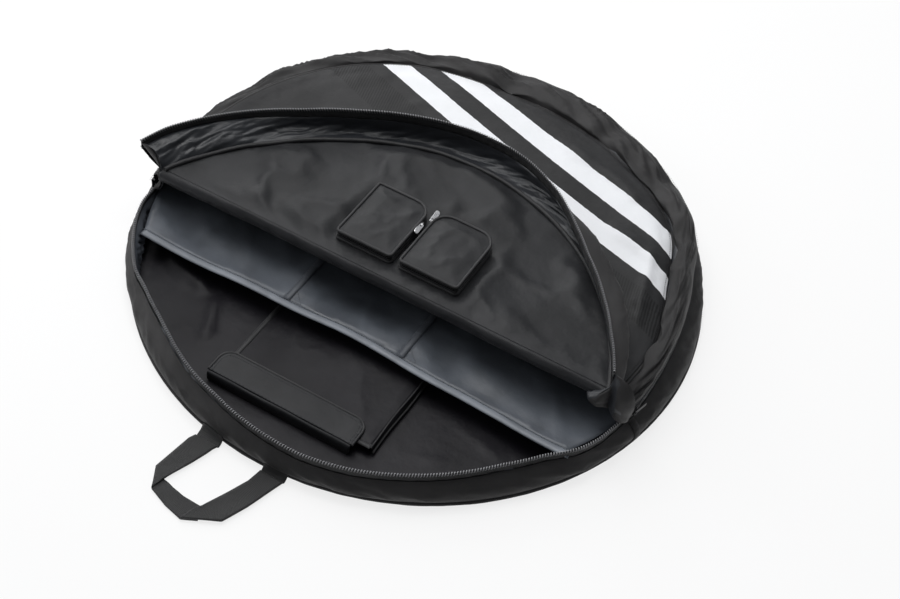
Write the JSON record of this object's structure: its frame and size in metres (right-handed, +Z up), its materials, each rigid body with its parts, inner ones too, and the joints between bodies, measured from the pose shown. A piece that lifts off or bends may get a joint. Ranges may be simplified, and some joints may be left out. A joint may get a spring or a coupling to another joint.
{
  "type": "bike wheel bag",
  "caption": "Round padded zip bag for bicycle wheels, lying open with its cover folded back, showing divider, cargo pocket, skewer pockets and a webbing carry handle.",
  "frame": {"origin": "centre of the back panel's floor face", "axes": "+Z up from the floor; the carry handle points towards -Y and the fold crease of the cover runs along X"},
  "size_m": [0.741, 0.851, 0.1221],
  "materials": {
    "outer_nylon": "woven",
    "zip_tape": "woven",
    "lining": "woven",
    "coated_lining": "coated",
    "foam": "foam",
    "zip_coil": "moulded",
    "webbing": "woven",
    "slider_zinc": "painted",
    "pull_zinc": "polished"
  },
  "bodies": {
    "bag_body": {"back_panel": "outer_nylon", "back_foam": "foam", "back_lining": "lining", "bottom_piping": "outer_nylon", "lower_gusset": "outer_nylon", "lower_gusset_lining": "coated_lining", "lower_zip_tape": "zip_tape", "lower_zip_coil": "zip_coil", "rear_cover_panel": "outer_nylon", "rear_cover_foam": "foam", "rear_cover_lining": "lining", "rear_cover_gusset": "outer_nylon", "rear_gusset_lining": "coated_lining", "rear_cover_piping": "outer_nylon", "rear_zip_tape": "zip_tape", "rear_zip_coil": "zip_coil", "divider_left": "coated_lining", "divider_middle": "coated_lining", "divider_right": "coated_lining", "divider_seam_left": "coated_lining", "divider_seam_right": "coated_lining", "divider_hem": "coated_lining", "cargo_pocket": "lining", "cargo_flap_anchor": "lining", "handle_anchor_left": "webbing", "handle_anchor_right": "webbing"},
    "cover_flap": {"front_cover_panel": "outer_nylon", "front_cover_foam": "foam", "front_cover_lining": "lining", "front_cover_gusset": "outer_nylon", "front_gusset_lining": "coated_lining", "front_cover_piping": "outer_nylon", "front_zip_tape": "zip_tape", "front_zip_coil": "zip_coil", "left_pocket_wall": "lining", "right_pocket_wall": "lining"},
    "cargo_flap": {"cargo_flap": "lining"},
    "handle": {"handle_strap": "webbing"},
    "left_main_slider": {"left_main_slider": "slider_zinc"},
    "left_main_pull": {"left_main_pull": "pull_zinc"},
    "right_main_slider": {"right_main_slider": "slider_zinc"},
    "right_main_pull": {"right_main_pull": "pull_zinc"},
    "left_pocket_lid": {"left_pocket_lid": "lining"},
    "right_pocket_lid": {"right_pocket_lid": "lining"},
    "left_pocket_slider": {"left_pocket_slider": "slider_zinc"},
    "left_pocket_pull": {"left_pocket_pull": "pull_zinc"},
    "right_pocket_slider": {"right_pocket_slider": "slider_zinc"},
    "right_pocket_pull": {"right_pocket_pull": "pull_zinc"}
  },
  "joints": [
    {"name": "flap_fold", "type": "hinge", "parent": "bag_body", "child": "cover_flap", "pos_m": [0, -0.114, 0.0853], "axis": [1, 0, 0], "range_deg": [0, 180]},
    {"name": "right_main_zip", "type": "hinge", "parent": "bag_body", "child": "right_main_slider", "pos_m": [0, 0, 0], "axis": [0, 0, -1], "range_deg": [0, 72]},
    {"name": "left_main_zip", "type": "hinge", "parent": "bag_body", "child": "left_main_slider", "pos_m": [0, 0, 0], "axis": [0, 0, 1], "range_deg": [0, 72]},
    {"name": "right_main_pull_swing", "type": "hinge", "parent": "right_main_slider", "child": "right_main_pull", "pos_m": [0.3473, -0.09306, 0.0475], "axis": [0, 0, 1], "range_deg": [-170, 0]},
    {"name": "left_main_pull_swing", "type": "hinge", "parent": "left_main_slider", "child": "left_main_pull", "pos_m": [-0.3473, -0.09306, 0.0475], "axis": [0, 0, -1], "range_deg": [-170, 0]},
    {"name": "handle_swing", "type": "hinge", "parent": "bag_body", "child": "handle", "pos_m": [-0.017, -0.3765, 0.0024], "axis": [-1, 0, 0], "range_deg": [0, 90]},
    {"name": "cargo_flap_lift", "type": "hinge", "parent": "bag_body", "child": "cargo_flap", "pos_m": [-0.0145, -0.3, 0.022], "axis": [1, 0, 0], "range_deg": [0, 115]},
    {"name": "left_pocket_open", "type": "hinge", "parent": "cover_flap", "child": "left_pocket_lid", "pos_m": [-0.034, -0.091, 0.10125], "axis": [-1, 0, 0], "range_deg": [-100, 0]},
    {"name": "right_pocket_open", "type": "hinge", "parent": "cover_flap", "child": "right_pocket_lid", "pos_m": [0.0575, -0.091, 0.10125], "axis": [-1, 0, 0], "range_deg": [-100, 0]},
    {"name": "left_pocket_zip", "type": "slide", "parent": "cover_flap", "child": "left_pocket_slider", "axis": [0, -1, 0], "range_m": [0, 0.055]},
    {"name": "right_pocket_zip", "type": "slide", "parent": "cover_flap", "child": "right_pocket_slider", "axis": [0, -1, 0], "range_m": [0, 0.05]},
    {"name": "left_pocket_pull_swing", "type": "hinge", "parent": "left_pocket_slider", "child": "left_pocket_pull", "pos_m": [0.0074, -0.02, 0.10175], "axis": [0, 0, 1], "range_deg": [0, 22]},
    {"name": "right_pocket_pull_swing", "type": "hinge", "parent": "right_pocket_slider", "child": "right_pocket_pull", "pos_m": [0.0146, -0.01, 0.10175], "axis": [0, 0, 1], "range_deg": [0, 22]}
  ]
}
